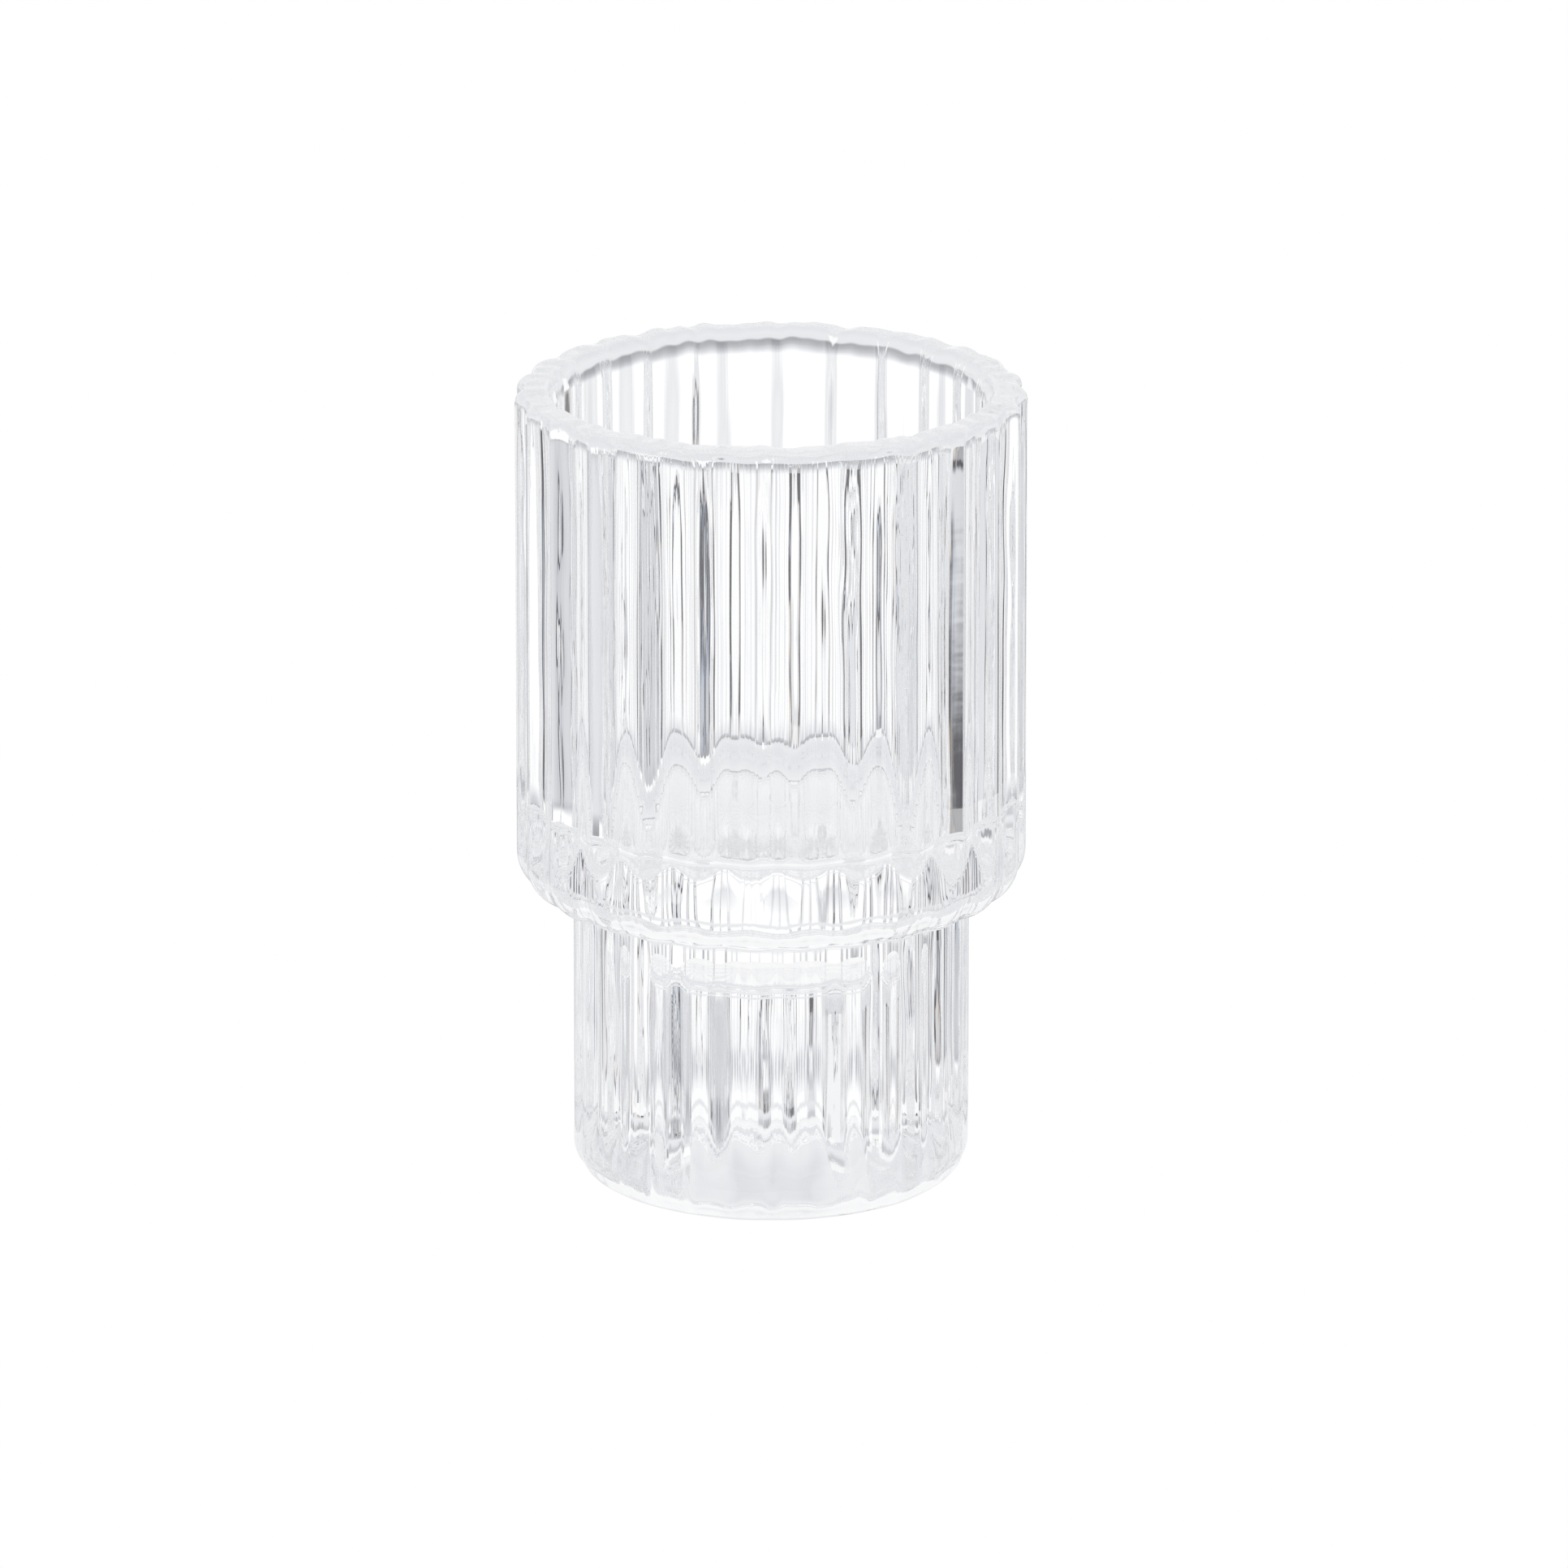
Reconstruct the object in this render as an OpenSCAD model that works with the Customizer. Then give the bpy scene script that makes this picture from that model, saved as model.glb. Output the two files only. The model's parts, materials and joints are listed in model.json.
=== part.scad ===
// Ribbed clear-glass candle holder that works either way up: a cup for a tealight on
// top, and a socket for a dinner candle in the underside of the foot.
// Millimetres, +Z up. The origin is the centre of the underside of the foot.

/* [Overall] */
// Height from the table to the rim
total_h = 96; // [90:1:110]
// Height of the foot, up to the underside of the cup
foot_h = 34.5; // [32:0.5:38]

/* [Tealight cup] */
// Outer diameter over the ribs of the cup
cup_d = 60; // [58:0.5:64]
// Inner diameter of the cup
cup_bore_d = 50.2; // [48:0.2:51]
// Height of the cup floor above the table
floor_z = 44.5; // [43:0.5:50]
// Radius of the corner between the cup floor and its wall
floor_corner_r = 2; // [1:0.1:3]
// Depth of the valleys between the ribs of the cup
cup_groove = 1.15; // [0.6:0.05:1.3]
// Radius that rounds the outside of the rim
rim_outer_r = 1.6; // [1.5:0.1:2.6]
// Radius that rounds the inside of the rim
rim_inner_r = 1.5; // [0.8:0.1:1.8]
// Radius of the shoulder under the cup
shoulder_r = 5.8; // [5:0.1:6.5]

/* [Foot] */
// Outer diameter over the ribs of the foot
foot_d = 46.5; // [45:0.5:49]
// Depth of the valleys between the ribs of the foot
foot_groove = 0.8; // [0.5:0.05:1]
// Height at which the ribs of the foot end in a smooth band
band_h = 7; // [6:0.5:10]
// Radius that rounds the bottom edge of the foot
base_corner_r = 4.5; // [3:0.1:5]

/* [Candle socket] */
// Diameter of the socket for a dinner candle
socket_d = 22; // [21:0.1:23]
// Depth of the socket
socket_depth = 27; // [22:0.5:28]
// Radius of the corner between the socket's wall and its end
socket_corner_r = 1.5; // [0.8:0.1:2]
// Width of the bevel round the socket's mouth
socket_bevel = 0.8; // [0.4:0.1:1.2]

/* [Ribs] */
// Number of ribs round the cup, and round the foot
ribs = 27; // [22:1:32]
// Direction of the crest of the first rib
first_rib = -94.8; // [-180:0.1:180]

/* [Hidden] */
$fn = 96;

GLASS = [0.9, 0.93, 0.94, 0.45];
OVER = 1;             // how far a cutting shape runs past the glass
CORE_STEP = 0.25;     // how far the core reaches above the valleys, in valley depths
CROSSING = 1.02;      // makes ribs and valleys cross at a small angle where they meet
CREST_GAP = 0.3;      // keeps the rim's rounding off the crests of the ribs
FOOT_CREST = 0.05;    // how far the ribs of the foot stay inside its band

cup_r = cup_d / 2;
foot_r = foot_d / 2;
foot_valley_r = foot_r - foot_groove;
socket_r = socket_d / 2;
rib_pitch = 360 / ribs;

// Radius of an arc from its half width and its height
function arc_r(half_w, h) = (half_w * half_w + h * h) / (2 * h);

// Plan of the ribbed glass: round ribs and round valleys that take turns as one smooth wave
module ribbed_plan(crest_r, groove) {
    valley_r = crest_r - groove;
    turn_out = (crest_r - groove / 2) * cos(rib_pitch / 4);
    turn_side = (crest_r - groove / 2) * sin(rib_pitch / 4);
    rib_r = arc_r(turn_side, crest_r - turn_out) * CROSSING;
    hollow_r = arc_r(turn_side, turn_out - valley_r) * CROSSING;
    difference() {
        union() {
            circle(r = valley_r + CORE_STEP * groove);
            around_ribs(0) translate([crest_r - rib_r, 0]) circle(r = rib_r);
        }
        around_ribs(rib_pitch / 2) translate([valley_r + hollow_r, 0]) circle(r = hollow_r);
    }
}

// One copy of a shape for each rib, turned from the rib's crest by an angle
module around_ribs(turned) {
    for (k = [0:ribs - 1]) rotate(first_rib + turned + k * rib_pitch) children();
}

// Half section of a round shape whose lower outer edge is rounded
module rounded_section(r, h, corner) {
    square([r - corner, h]);
    translate([0, corner]) square([r, h - corner]);
    translate([r - corner, corner]) circle(r = corner);
}

// Half section that trims the top of the cup wall to its fire-polished outer edge
module rim_trim_section() {
    r = cup_r + CREST_GAP;
    square([r, total_h - rim_outer_r]);
    square([r - rim_outer_r, total_h]);
    translate([r - rim_outer_r, total_h - rim_outer_r]) circle(r = rim_outer_r);
}

// Half section of the flare that rounds the inside edge of the rim
module rim_flare_section() {
    r = cup_bore_d / 2;
    difference() {
        translate([0, total_h - rim_inner_r]) square([r + rim_inner_r, rim_inner_r + OVER]);
        translate([r + rim_inner_r, total_h - rim_inner_r]) circle(r = rim_inner_r);
    }
}

// Ribbed wall of the cup, from its floor to the rim
module tealight_cup() {
    color(GLASS)
    difference() {
        intersection() {
            translate([0, 0, floor_z])
                linear_extrude(total_h - floor_z) ribbed_plan(cup_r, cup_groove);
            rotate_extrude() rim_trim_section();
        }
        translate([0, 0, floor_z])
            rotate_extrude() rounded_section(cup_bore_d / 2, total_h, floor_corner_r);
        rotate_extrude() rim_flare_section();
    }
}

// Solid glass between the cup and the foot, with the ribs running out round the shoulder
module waist() {
    color(GLASS)
    translate([0, 0, foot_h])
    intersection() {
        linear_extrude(floor_z - foot_h) ribbed_plan(cup_r, cup_groove);
        rotate_extrude()
            rounded_section(cup_r + CREST_GAP, floor_z - foot_h + OVER, shoulder_r);
    }
}

// Ribbed foot with a smooth band round its base and a candle socket in its underside
module candle_foot() {
    color(GLASS)
    difference() {
        union() {
            rotate_extrude() foot_band_section();
            translate([0, 0, band_h - OVER])
                linear_extrude(foot_h - band_h + OVER)
                    ribbed_plan(foot_r - FOOT_CREST, foot_groove);
        }
        rotate_extrude() socket_section();
    }
}

// Half section of the foot's core and of the band that its ribs end in
module foot_band_section() {
    rounded_section(foot_r, band_h, base_corner_r);
    polygon([[0, 0], [foot_r - base_corner_r, 0], [foot_r, base_corner_r], [foot_r, band_h],
        [foot_valley_r, band_h + foot_groove], [foot_valley_r, foot_h], [0, foot_h]]);
}

// Half section of the socket: a straight wall, a bevelled mouth and a rounded end
module socket_section() {
    translate([0, -OVER]) square([socket_r, socket_depth - socket_corner_r + OVER]);
    square([socket_r - socket_corner_r, socket_depth]);
    translate([socket_r - socket_corner_r, socket_depth - socket_corner_r])
        circle(r = socket_corner_r);
    polygon([[0, -OVER], [socket_r + socket_bevel + OVER, -OVER], [socket_r, socket_bevel],
        [0, socket_bevel]]);
}

tealight_cup();
waist();
candle_foot();
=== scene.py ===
"""Looks of the ribbed glass candle holder: one clear glass body, its floor, light and camera.

Lengths in this file are millimetres, and MM turns them into Blender's metres where an object,
a bump or a camera is made. The body stands on z = 0 round the Z axis, and the camera looks
along +Y.
"""
import json
import math

import bpy
import numpy as np
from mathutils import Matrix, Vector


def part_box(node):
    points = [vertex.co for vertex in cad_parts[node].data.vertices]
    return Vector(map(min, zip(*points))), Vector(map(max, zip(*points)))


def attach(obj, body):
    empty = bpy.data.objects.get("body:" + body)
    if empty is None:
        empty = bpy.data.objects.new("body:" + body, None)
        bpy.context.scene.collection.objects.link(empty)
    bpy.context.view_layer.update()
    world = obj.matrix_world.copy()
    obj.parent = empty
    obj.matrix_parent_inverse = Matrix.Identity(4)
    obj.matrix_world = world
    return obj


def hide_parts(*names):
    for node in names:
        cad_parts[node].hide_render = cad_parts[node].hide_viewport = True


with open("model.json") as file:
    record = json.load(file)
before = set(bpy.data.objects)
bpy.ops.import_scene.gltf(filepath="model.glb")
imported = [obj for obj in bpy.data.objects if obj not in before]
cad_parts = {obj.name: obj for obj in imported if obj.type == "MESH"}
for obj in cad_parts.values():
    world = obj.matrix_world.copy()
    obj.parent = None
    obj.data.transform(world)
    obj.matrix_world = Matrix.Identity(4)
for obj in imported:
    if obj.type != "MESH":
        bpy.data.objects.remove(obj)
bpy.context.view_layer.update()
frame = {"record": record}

MM = 0.001


# ---------------------------------------------------------------- sizes

def heights(node):
    """Lowest and highest z of a CAD node, in millimetres."""
    low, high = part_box(node)
    return round(low.z / MM, 2), round(high.z / MM, 2)


def outer_radius(node):
    """Half the width of a CAD node, in millimetres."""
    low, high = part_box(node)
    return round((high.x - low.x) / 2 / MM, 1)


FLOOR_Z, RIM_Z = heights("tealight_cup")
UNDER_Z = heights("waist")[0]
CUP_R = outer_radius("tealight_cup")
FOOT_R = 23.25
SOCKET_R = next(m for m in frame["record"]["mounts"] if m["kind"] == "bore")["dims"]["r_mm"]
SOCKET_TOP = 27.0

BORE_R = 25.1            # inside of the cup
BORE_DRAFT = 0.12        # how much the cup narrows from rim to floor
FLOOR_CORNER = 2.0
RIM_FLARE = (1.5, 3.6)   # width and height of the curve inside the rim
RIM_OUTER = 1.6          # radius that rounds the rim outside
SHOULDER = 5.8
NECK_FILLET = 0.7        # between the underside of the cup and the foot
BASE_CORNER = 4.5
SOCKET_CORNER = 1.5
MOUTH_ROUND = 0.9
BAND_TOP = 5.5           # the foot's ribs turn into the base band between these heights
RIB_FADE_TOP = 11.0
POLE_R = 0.4             # inside this radius a fan of triangles closes each end of the walk

# ---------------------------------------------------------------- ribs

RIBS = 27
FIRST_RIB = -94.8        # direction of a crest, in degrees
CUP_GROOVE = 1.15        # from crest to valley
FOOT_GROOVE = 0.8
RIB_STEPS = 20           # mesh columns in a rib

# How much of the full groove is left at places down the outside
RIM_SHARE = 0.12         # at the outer edge of the rim's top
WALL_TOP_SHARE = 0.85    # under the rim's rounding
SHOULDER_SHARE = 0.7     # where the wall meets the shoulder
UNDER_SHARE = 0.2        # on the underside of the cup
BAND_SHARE = 0.3         # in the base band, under which the ribs fade out over the base corner

# How many times the wall's ripples a surface has, where it differs from the wall
FLOOR_RIPPLE = 0.6
FLOOR_CORNER_RIPPLE = 0.8
BAND_RIPPLE = 3.0
MOUTH_RIPPLE = 4.0       # on the socket's wall next to its mouth
SOCKET_RIPPLE = 1.2      # on the socket's wall next to its end


def rib_columns():
    """Angles of the mesh columns, with the groove depth of the cup and of the foot at each."""
    turn = np.arange(RIBS * RIB_STEPS) / RIB_STEPS * 2 * math.pi
    valley = (1 - np.cos(turn)) / 2
    return math.radians(FIRST_RIB) + turn / RIBS, CUP_GROOVE * valley, FOOT_GROOVE * valley


# ---------------------------------------------------------------- profile

def smooth_step(t):
    """0 below 0 and 1 above 1, smooth between."""
    t = np.clip(t, 0, 1)
    return t * t * (3 - 2 * t)


def fade(first, last, speed=1.0):
    """A share that turns smoothly from first into last along a stretch of the profile."""
    return lambda t: first + (last - first) * smooth_step(t * speed)


def wall_grooves(t):
    """Share of the cup's grooves down the wall: less in the first sixth and the last eighth."""
    return (WALL_TOP_SHARE + (1 - WALL_TOP_SHARE) * smooth_step(t * 6)
            - (1 - SHOULDER_SHARE) * smooth_step(t * 8 - 7))


class Profile:
    """Half section of the glass, walked from the cup floor over the rim to the socket's end.

    Each row is r, z, how much of the cup's and of the foot's grooves it has, and how much of
    the ripples and of the rim's lumps. The glass lies on the right of the walk. A share is a
    number, or a function of t, which runs from 0 to 1 along a stretch.
    """

    def __init__(self):
        self.rows = []

    def row(self, r, z, t=0.0, cup=0.0, foot=0.0, ripple=0.0, lump=0.0):
        shares = [share(t) if callable(share) else share for share in (cup, foot, ripple, lump)]
        self.rows.append((r, z, *shares))

    def line(self, start, end, steps, **shares):
        for t in np.arange(steps) / steps:
            r = start[0] + (end[0] - start[0]) * t
            z = start[1] + (end[1] - start[1]) * t
            self.row(r, z, t, **shares)

    def arc(self, centre, radius, first, last, steps, **shares):
        """Part of a circle, or of an ellipse where radius is a width and a height."""
        width, height = radius if isinstance(radius, tuple) else (radius, radius)
        for t in np.arange(steps) / steps:
            a = math.radians(first + (last - first) * t)
            self.row(centre[0] + width * math.cos(a), centre[1] + height * math.sin(a), t,
                     **shares)


def walk_cup(p):
    """The inside of the cup, the rim, the wall outside and the shoulder."""
    low_bore = BORE_R - BORE_DRAFT
    flare_w, flare_h = RIM_FLARE
    p.line((POLE_R, FLOOR_Z), (low_bore - FLOOR_CORNER, FLOOR_Z), 8, ripple=FLOOR_RIPPLE)
    p.arc((low_bore - FLOOR_CORNER, FLOOR_Z + FLOOR_CORNER), FLOOR_CORNER, -90, 0, 8,
          ripple=FLOOR_CORNER_RIPPLE)
    p.line((low_bore, FLOOR_Z + FLOOR_CORNER), (BORE_R, RIM_Z - flare_h), 16, ripple=1.0)
    p.arc((BORE_R + flare_w, RIM_Z - flare_h), RIM_FLARE, 180, 90, 12,
          ripple=1.0, lump=fade(0, 1))
    p.line((BORE_R + flare_w, RIM_Z), (CUP_R - RIM_OUTER, RIM_Z), 3,
           ripple=1.0, lump=1.0, cup=fade(0, RIM_SHARE))
    p.arc((CUP_R - RIM_OUTER, RIM_Z - RIM_OUTER), RIM_OUTER, 90, 0, 12,
          ripple=1.0, lump=fade(1, 0), cup=fade(RIM_SHARE, WALL_TOP_SHARE, 1.3))
    p.line((CUP_R, RIM_Z - RIM_OUTER), (CUP_R, UNDER_Z + SHOULDER), 38,
           ripple=1.0, cup=wall_grooves)
    p.arc((CUP_R - SHOULDER, UNDER_Z + SHOULDER), SHOULDER, 0, -90, 18,
          ripple=1.0, cup=fade(SHOULDER_SHARE, UNDER_SHARE, 1.5))


def walk_foot(p):
    """The neck, the ribbed foot, its base band and the underside."""
    p.arc((FOOT_R + NECK_FILLET, UNDER_Z - NECK_FILLET), NECK_FILLET, 90, 180, 4,
          ripple=1.0, cup=fade(UNDER_SHARE, 0), foot=fade(0, 1))
    p.line((FOOT_R, UNDER_Z - NECK_FILLET), (FOOT_R, RIB_FADE_TOP), 11, ripple=1.0, foot=1.0)
    p.line((FOOT_R, RIB_FADE_TOP), (FOOT_R, BAND_TOP), 8,
           ripple=lambda t: 1 + (BAND_RIPPLE - 1) * t, foot=fade(1, BAND_SHARE))
    p.line((FOOT_R, BAND_TOP), (FOOT_R, BASE_CORNER), 2, ripple=BAND_RIPPLE, foot=BAND_SHARE)
    p.arc((FOOT_R - BASE_CORNER, BASE_CORNER), BASE_CORNER, 0, -90, 9,
          ripple=lambda t: BAND_RIPPLE * (1 - t), foot=fade(BAND_SHARE, 0, 1.5))
    p.line((FOOT_R - BASE_CORNER, 0), (SOCKET_R + MOUTH_ROUND, 0), 3)


def walk_socket(p):
    """The socket's mouth, wall and end. The wall is the most uneven near the mouth."""
    p.arc((SOCKET_R + MOUTH_ROUND, MOUTH_ROUND), MOUTH_ROUND, -90, -180, 4)
    p.line((SOCKET_R, MOUTH_ROUND), (SOCKET_R, SOCKET_TOP - SOCKET_CORNER), 10,
           ripple=lambda t: SOCKET_RIPPLE + (MOUTH_RIPPLE - SOCKET_RIPPLE) * (1 - t) ** 2)
    p.arc((SOCKET_R - SOCKET_CORNER, SOCKET_TOP - SOCKET_CORNER), SOCKET_CORNER, 0, 90, 8,
          ripple=SOCKET_RIPPLE)
    p.line((SOCKET_R - SOCKET_CORNER, SOCKET_TOP), (POLE_R, SOCKET_TOP), 8,
           ripple=lambda t: SOCKET_RIPPLE / 2 * (1 - t))
    p.row(POLE_R, SOCKET_TOP)


def glass_profile():
    p = Profile()
    walk_cup(p)
    walk_foot(p)
    walk_socket(p)
    return np.array(p.rows)


# ---------------------------------------------------------------- glass body

# Waves drawn by chance: seed, how many, the range of how often one swings round the body, and
# the range of how fast it leans as it climbs, in radians per millimetre
RIPPLES = (7, 14, (2, 22), (0.02, 0.14))
WOBBLES = (4, 8, (5, 40), (0.1, 0.5))
LUMPS = (21, 16, (9, 70))
RIPPLE_HEIGHT = 0.007    # height of one wave of the ripples
WOBBLE = 0.014           # how much one wave changes the depth of the ribs, as a share
LUMP_HEIGHT = 0.18       # scale of the rim's lumps, of which the slower waves are the higher


def wave_sum(seed, count, round_range, lean_range, angles, z):
    """A sum of slow waves that run round the body and lean as they climb it."""
    chance = np.random.default_rng(seed)
    total = np.zeros((len(z), len(angles)))
    for _ in range(count):
        round_waves = chance.integers(*round_range)
        lean = chance.uniform(*lean_range)
        phase = chance.uniform(0, 2 * math.pi)
        total += np.sin(round_waves * angles[None, :] + lean * z[:, None] + phase)
    return total


def ripples(angles, z):
    """Faint unevenness of the pressed glass, in millimetres."""
    return wave_sum(*RIPPLES, angles, z) * RIPPLE_HEIGHT


def rib_wobble(angles, z):
    """Depth of the ribs at each place, as a share of their usual depth."""
    return 1 + wave_sum(*WOBBLES, angles, z) * WOBBLE


def rim_lumps(angles):
    """How far the flame let the rim sink; its highest lump stays where it was."""
    seed, count, round_range = LUMPS
    chance = np.random.default_rng(seed)
    total = np.zeros(len(angles))
    for _ in range(count):
        round_waves = chance.integers(*round_range)
        total += np.sin(round_waves * angles + chance.uniform(0, 2 * math.pi)) / round_waves ** 0.5
    return (total - total.max()) * LUMP_HEIGHT


def profile_normals(r, z):
    """Unit normals that point out of the glass, on the left of the walk."""
    dr, dz = np.gradient(r), np.gradient(z)
    length = np.hypot(dr, dz)
    return -dz / length, dr / length


def body_points():
    """The body's points, by row of the profile and column round the axis."""
    angles, cup_depth, foot_depth = rib_columns()
    r, z, cup, foot, ripple, lump = glass_profile().T
    nr, nz = profile_normals(r, z)
    lift = ripples(angles, z) * ripple[:, None] + rim_lumps(angles) * lump[:, None]
    depth = cup[:, None] * cup_depth[None, :] + foot[:, None] * foot_depth[None, :]
    lift = lift - depth * rib_wobble(angles, z)
    radius = r[:, None] + nr[:, None] * lift
    height = np.maximum(z[:, None] + nz[:, None] * lift, 0)
    return np.stack([radius * np.cos(angles), radius * np.sin(angles), height], -1)


def body_faces(rows, columns):
    """Faces between the rows, and a fan at each end to its pole. The poles are the last points."""
    faces = []
    for i in range(rows - 1):
        for j in range(columns):
            k = (j + 1) % columns
            faces.append((i * columns + j, i * columns + k, (i + 1) * columns + k,
                          (i + 1) * columns + j))
    first_pole, last_pole = rows * columns, rows * columns + 1
    last_row = (rows - 1) * columns
    for j in range(columns):
        k = (j + 1) % columns
        faces.append((first_pole, k, j))
        faces.append((last_pole, last_row + j, last_row + k))
    return faces


def glass_mesh(name):
    points = body_points()
    rows, columns = points.shape[:2]
    verts = np.vstack([points.reshape(-1, 3), [[0, 0, FLOOR_Z], [0, 0, SOCKET_TOP]]])
    mesh = bpy.data.meshes.new(name)
    mesh.from_pydata((verts * MM).tolist(), [], body_faces(rows, columns))
    mesh.flip_normals()
    mesh.shade_smooth()
    mesh.update()
    return mesh


glass = bpy.data.objects.new("glass_body", glass_mesh("glass_body"))
bpy.context.scene.collection.objects.link(glass)


# ---------------------------------------------------------------- node helpers

BLUE_TINT = 0.04         # how much bluer than white a grey is
TINT_WHOLE = 0.75        # at this lightness and below, the tint is whole


def grey(level):
    """White that turns slightly blue as it gets darker."""
    blue = BLUE_TINT * min(max(0.0, 1 - level) / (1 - TINT_WHOLE), 1)
    return (level * (1 - blue / 4), level, level * (1 + blue), 1)


class Nodes:
    """Short ways to add nodes to the tree of a material or a world."""

    def __init__(self, owner):
        owner.use_nodes = True
        self.tree = owner.node_tree
        self.tree.nodes.clear()

    def join(self, value, socket):
        if isinstance(value, bpy.types.NodeSocket):
            self.tree.links.new(value, socket)
        else:
            socket.default_value = value

    def join_all(self, values, sockets):
        for value, socket in zip(values, sockets):
            self.join(value, socket)

    def add(self, kind, **sockets):
        node = self.tree.nodes.new(kind)
        for name, value in sockets.items():
            self.join(value, node.inputs[name.replace("_", " ")])
        return node

    def maths(self, operation, *values):
        node = self.tree.nodes.new("ShaderNodeMath")
        node.operation = operation
        self.join_all(values, node.inputs)
        return node.outputs[0]

    def vector_maths(self, operation, *values):
        node = self.tree.nodes.new("ShaderNodeVectorMath")
        node.operation = operation
        self.join_all(values, node.inputs)
        return node.outputs["Value" if operation == "LENGTH" else "Vector"]

    def rise(self, value, low, high):
        """0 up to low and 1 from high, smooth between. With low the higher one, it falls."""
        node = self.tree.nodes.new("ShaderNodeMapRange")
        node.interpolation_type = "SMOOTHSTEP"
        self.join_all((value, low, high), node.inputs)
        return node.outputs[0]

    def between(self, value, low, high, soft):
        """1 between low and high, falling to 0 over soft on both sides."""
        return self.maths("MULTIPLY", self.rise(value, low - soft / 2, low + soft / 2),
                          self.rise(value, high + soft / 2, high - soft / 2))

    def mix(self, amount, first, second):
        node = self.tree.nodes.new("ShaderNodeMix")
        node.data_type = "RGBA"
        self.join_all((amount, first, second), (node.inputs[0], node.inputs[6], node.inputs[7]))
        return node.outputs[2]

    def ramp(self, value, stops):
        """A grey that follows the stops: pairs of a value and its lightness."""
        low, high = stops[0][0], stops[-1][0]
        share = self.maths("DIVIDE", self.maths("SUBTRACT", value, low), high - low)
        node = self.add("ShaderNodeValToRGB", Fac=share)
        elements = node.color_ramp.elements
        elements.remove(elements[0])
        for i, (at, level) in enumerate(stops):
            place = (at - low) / (high - low)
            element = elements[0] if i == 0 else elements.new(place)
            element.position = place
            element.color = grey(level)
        return node.outputs[0]


# ---------------------------------------------------------------- material

GLASS_COLOUR = (0.99, 0.992, 0.993, 1)
GLASS_IOR = 1.52
LINES_ROUND = 460.0       # upright lines round the body: one every 0.4 mm
LINE_HEIGHT = 0.0006
WANDER = 9.0              # how far noise shifts the lines to and fro, in radians of their wave
UNEVEN_HEIGHT = 0.0008
UNEVEN_STRETCH = 0.03     # heights count this much, which draws the noise out upright
DIMPLE_HEIGHT = 0.0025
# Fineness of each noise, in steps per metre
WANDER_SCALE = 60.0
UNEVEN_SCALE = 1400.0
DIMPLE_SCALE = 350.0


def mould_relief(n):
    """Height of the fine upright lines and faint dimples that the mould left, in metres."""
    place = n.add("ShaderNodeTexCoord").outputs["Object"]
    x, y, z = n.add("ShaderNodeSeparateXYZ", Vector=place).outputs
    angle = n.maths("ARCTAN2", y, x)
    wander = n.add("ShaderNodeTexNoise", Vector=place, Scale=WANDER_SCALE, Detail=1.0)
    phase = n.maths("MULTIPLY_ADD", angle, LINES_ROUND,
                    n.maths("MULTIPLY", wander.outputs[0], WANDER))
    lines = n.maths("SINE", phase)
    stretched = n.add("ShaderNodeCombineXYZ", X=x, Y=y, Z=n.maths("MULTIPLY", z, UNEVEN_STRETCH))
    uneven = n.add("ShaderNodeTexNoise", Vector=stretched.outputs[0], Scale=UNEVEN_SCALE,
                   Detail=2.0)
    dimples = n.add("ShaderNodeTexNoise", Vector=place, Scale=DIMPLE_SCALE, Detail=2.0)
    upright = n.maths("ADD", n.maths("MULTIPLY", lines, LINE_HEIGHT * MM),
                      n.maths("MULTIPLY", uneven.outputs[0], UNEVEN_HEIGHT * MM))
    return n.maths("ADD", upright, n.maths("MULTIPLY", dimples.outputs[0], DIMPLE_HEIGHT * MM))


def clear_glass():
    material = bpy.data.materials.new("clear_pressed_glass")
    n = Nodes(material)
    bump = n.add("ShaderNodeBump", Height=mould_relief(n), Distance=1.0)
    shader = n.add("ShaderNodeBsdfPrincipled", Normal=bump.outputs[0], Base_Color=GLASS_COLOUR,
                   Roughness=0.0, IOR=GLASS_IOR, Transmission_Weight=1.0)
    n.add("ShaderNodeOutputMaterial", Surface=shader.outputs[0])
    return material


glass.data.materials.append(clear_glass())
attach(glass, "root")
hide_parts("tealight_cup", "waist", "candle_foot")


# ---------------------------------------------------------------- floor

WHITE = (1, 1, 1, 1)
FLOOR_R = 36             # radius of the floor that the glass sees
FLOOR_GAP = 0.2          # between the floor and the foot, so that their faces don't mix
# Painted shadow under the foot: the floor glows darker there. Millimetres from the axis, and
# lightness
SHADE = ((0, 0.74), (8, 0.84), (20, 0.9), (FLOOR_R, 1))


def floor_material():
    """A floor that glows by itself: plain white to the camera, and with a painted shadow under the
    foot where the glass sees it.
    """
    material = bpy.data.materials.new("pale_floor")
    n = Nodes(material)
    place = n.add("ShaderNodeTexCoord").outputs["Object"]
    reach = n.maths("DIVIDE", n.vector_maths("LENGTH", place), MM)
    seen_bare = n.add("ShaderNodeLightPath").outputs["Is Camera Ray"]
    # The glow carries the painted shadow under the foot, and only rays through the glass see it
    light = n.add("ShaderNodeEmission", Color=n.mix(seen_bare, n.ramp(reach, SHADE), WHITE))
    n.add("ShaderNodeOutputMaterial", Surface=light.outputs[0])
    return material


bpy.ops.mesh.primitive_circle_add(vertices=128, radius=FLOOR_R * MM, fill_type="NGON",
                                  location=(0, 0, -FLOOR_GAP * MM))
floor = bpy.context.object
floor.name = "floor"
floor.data.materials.append(floor_material())


# ---------------------------------------------------------------- light

# The studio is painted on the sky. Directions are degrees to the right of straight behind
# the holder, and heights are degrees above the horizon.

# Lightness of the studio by height
ROOM = ((-90, 0.82), (-50, 0.78), (-42, 0.8), (-34, 0.84), (-26, 0.82), (-10, 0.85), (-6, 0.8),
        (-2, 0.6), (2, 0.6), (6, 0.95), (20, 1.0), (30, 0.78), (60, 0.85), (90, 1.1))

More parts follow.
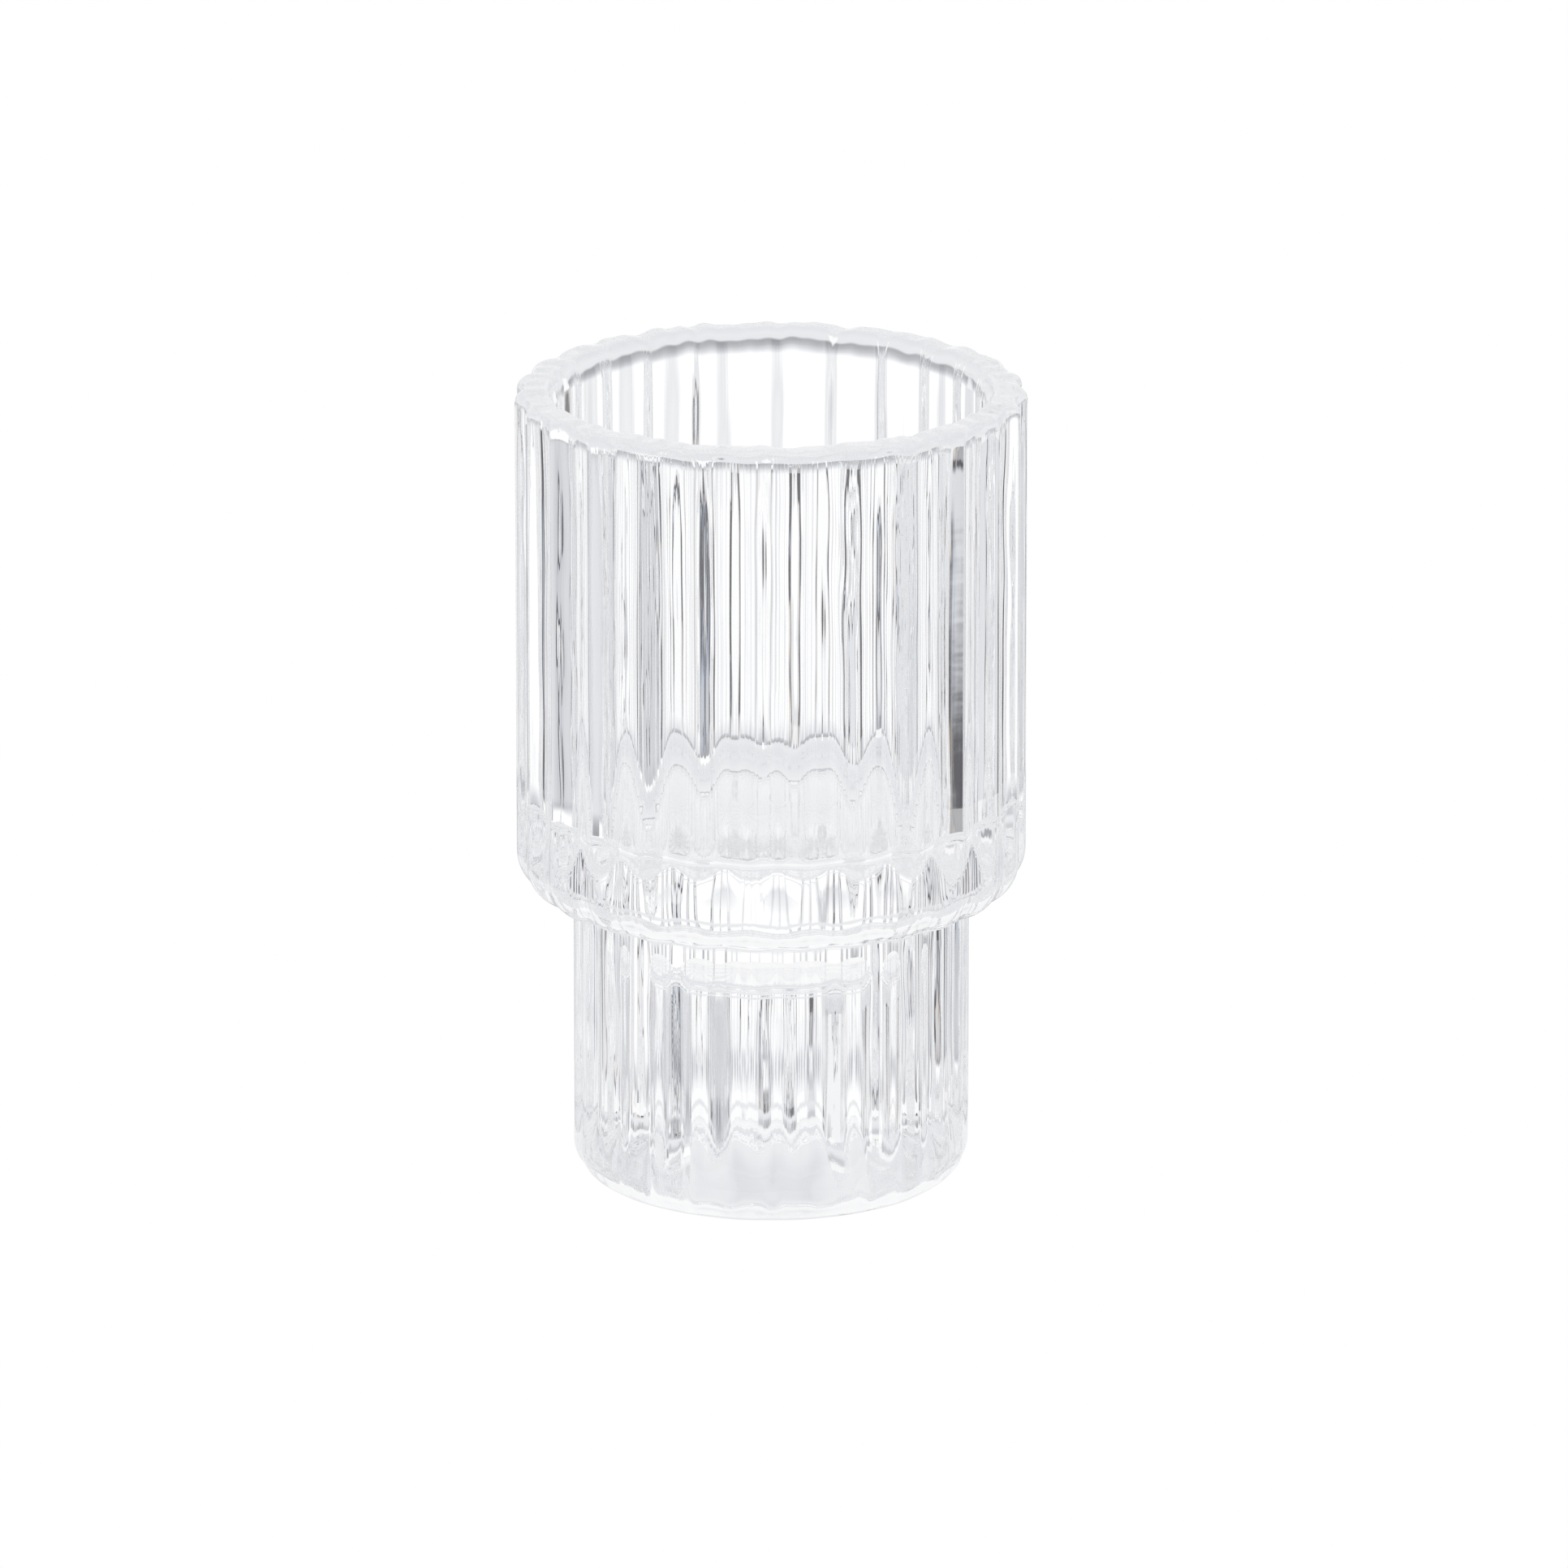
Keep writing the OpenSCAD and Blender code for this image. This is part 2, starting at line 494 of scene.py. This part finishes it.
# The wall that the main view looks at through the glass: its heights, and lightness by direction
WALL_LOW, WALL_HIGH = -27, -12
WALL = ((-180, 0.75), (-158, 0.75), (-140, 1.0), (-120, 1.1), (-112, 0.7), (-90, 0.65),
        (-76, 0.8), (-50, 0.68), (-38, 0.57), (-26, 0.68), (-21, 0.92), (-16, 0.84),
        (-11, 1.06), (20, 1.06), (22, 0.8), (34, 0.8), (50, 0.77), (72, 0.7), (84, 0.78),
        (100, 0.7), (114, 0.8), (118, 1.05), (154, 1.05), (158, 0.8), (180, 0.75))
# How the wall darkens towards the table: height, and the share of its light that is left
FALL = ((-27, 0.38), (-24, 0.44), (-22, 0.52), (-20, 0.68), (-18.5, 0.86), (-17.2, 1))

# Low down, the right side of the wall is even and light, which brightens the foot
RIGHT_FROM, RIGHT_TO = 24, 106
RIGHT_BELOW, RIGHT_ABOVE = -17.6, -17.2
RIGHT_LIGHT = 0.93

# Dark strips on the wall, which draw the lines in the glass: direction, half width, the height
# up to which each is whole, and the degrees over which it fades above that
WALL_STRIPS = ((-33, 3.5, -12, 1.6), (32, 2.5, -12, 1.6), (63, 3, -16.8, 1.2), (72, 6, -17, 0.8))
# Low down they are fainter, because the foot is lit through them
FAINT_BELOW, FAINT_ABOVE = -17.5, -17.1
FAINT = 0.6

# Grey strips round the horizon, which low views see in the glass: direction and half width
SIDE_STRIPS = ((-33, 2), (32, 2), (-60, 2), (-120, 2))
SIDE_LOW, SIDE_HIGH = -7, 3

# Panels, light and dark: direction, half width, lowest and highest edge, and lightness
PANELS = ((-45, 20, -34, -20, 1.05), (0, 20, -8, 4, 1.05), (-90, 20, -8, 4, 1.05),
          (180, 55, 9, 28, 0.5), (90, 30, 26, 46, 0.5), (180, 9, 10, 24, 0.05))

# Degrees over which edges fade: upright edges of panels and of strips, and level edges
PANEL_SOFT = 5
STRIP_SOFT = 1.6
ROW_SOFT = 3

STRIP_BLACK = (0.06, 0.06, 0.07, 1)
STRIP_GREY = (0.35, 0.35, 0.37, 1)
# Real glass splits the light a little, which coloured edges on the wall's strips stand for
FRINGE = 1.0             # their width in degrees
FRINGE_IN = (0.7, 0.58, 0.45, 1)
FRINGE_OUT = (0.45, 0.53, 0.68, 1)


class Studio:
    """The colour of the sky by direction and height, painted in layers."""

    def __init__(self, n):
        self.n = n
        sky = n.add("ShaderNodeTexCoord").outputs["Generated"]
        x, y, z = n.add("ShaderNodeSeparateXYZ", Vector=sky).outputs
        self.direction = n.maths("DEGREES", n.maths("ARCTAN2", x, y))
        self.height = n.maths("DEGREES", n.maths("ARCSINE", z))
        self.wall_rows = n.between(self.height, WALL_LOW, WALL_HIGH, ROW_SOFT)
        self.light = n.ramp(self.height, ROOM)

    def turn_from(self, direction):
        """Degrees to the right of a direction, from -180 to 180."""
        n = self.n
        return n.maths("WRAP", n.maths("SUBTRACT", self.direction, direction), 180, -180)

    def paint(self, rows, across, colour):
        """Cover the light with a colour, by the product of the two shares."""
        n = self.n
        self.light = n.mix(n.maths("MULTIPLY", rows, across), self.light, colour)

    def wall(self):
        n = self.n
        wall = n.vector_maths("MULTIPLY", n.ramp(self.direction, WALL), n.ramp(self.height, FALL))
        low_right = n.maths("MULTIPLY",
                            n.between(self.direction, RIGHT_FROM, RIGHT_TO, PANEL_SOFT),
                            n.rise(self.height, RIGHT_ABOVE, RIGHT_BELOW))
        wall = n.mix(low_right, wall, grey(RIGHT_LIGHT))
        self.light = n.mix(self.wall_rows, self.light, wall)

    def wall_strips(self):
        n = self.n
        faint = n.maths("MULTIPLY_ADD", n.rise(self.height, FAINT_BELOW, FAINT_ABOVE),
                        1 - FAINT, FAINT)
        for direction, half, top, fading in WALL_STRIPS:
            outward = n.maths("MULTIPLY", self.turn_from(direction), math.copysign(1, direction))
            rows = n.maths("MULTIPLY", faint, n.rise(self.height, top + fading, top))
            rows = n.maths("MULTIPLY", self.wall_rows, rows)
            for low, high, colour in ((-half - FRINGE, -half, FRINGE_IN),
                                      (-half, half, STRIP_BLACK),
                                      (half, half + FRINGE, FRINGE_OUT)):
                self.paint(rows, n.between(outward, low, high, STRIP_SOFT), colour)

    def side_strips(self):
        n = self.n
        rows = n.between(self.height, SIDE_LOW, SIDE_HIGH, ROW_SOFT)
        for direction, half in SIDE_STRIPS:
            across = n.between(self.turn_from(direction), -half, half, STRIP_SOFT)
            self.paint(rows, across, STRIP_GREY)

    def panels(self):
        n = self.n
        for direction, half, low, high, level in PANELS:
            rows = n.between(self.height, low, high, ROW_SOFT)
            across = n.between(self.turn_from(direction), -half, half, PANEL_SOFT)
            self.paint(rows, across, grey(level))


def studio_world():
    """A white studio with dark strips, seen only in the glass. The camera sees plain white."""
    world = bpy.data.worlds.new("studio")
    bpy.context.scene.world = world
    n = Nodes(world)
    studio = Studio(n)
    studio.wall()
    studio.wall_strips()
    studio.side_strips()
    studio.panels()
    in_glass = n.add("ShaderNodeBackground", Color=studio.light)
    bare = n.add("ShaderNodeBackground", Color=WHITE)
    choose = n.add("ShaderNodeMixShader", Fac=n.add("ShaderNodeLightPath").outputs["Is Camera Ray"])
    n.join(in_glass.outputs[0], choose.inputs[1])
    n.join(bare.outputs[0], choose.inputs[2])
    n.add("ShaderNodeOutputWorld", Surface=choose.outputs[0])


studio_world()

# ---------------------------------------------------------------- camera

CAMERA_DISTANCE = 2000
CAMERA_ELEVATION = 16.7  # degrees
FRAME_WIDTH = 183.65     # width of the picture at the object
AIM = Vector((1.53, 0, 47.4))
SENSOR = 36
BOUNCES = 96             # light crosses many ribs before it leaves the glass

camera_data = bpy.data.cameras.new("camera")
camera_data.sensor_width = SENSOR
camera_data.lens = SENSOR * CAMERA_DISTANCE / FRAME_WIDTH
camera = bpy.data.objects.new("camera", camera_data)
tilt = math.radians(CAMERA_ELEVATION)
camera.location = MM * (AIM + CAMERA_DISTANCE * Vector((0, -math.cos(tilt), math.sin(tilt))))
camera.rotation_euler = (math.radians(90 - CAMERA_ELEVATION), 0, 0)

scene = bpy.context.scene
scene.collection.objects.link(camera)
bpy.context.scene.camera = camera
scene.view_settings.view_transform = "Standard"
scene.cycles.max_bounces = BOUNCES
scene.cycles.transmission_bounces = BOUNCES
scene.cycles.glossy_bounces = BOUNCES
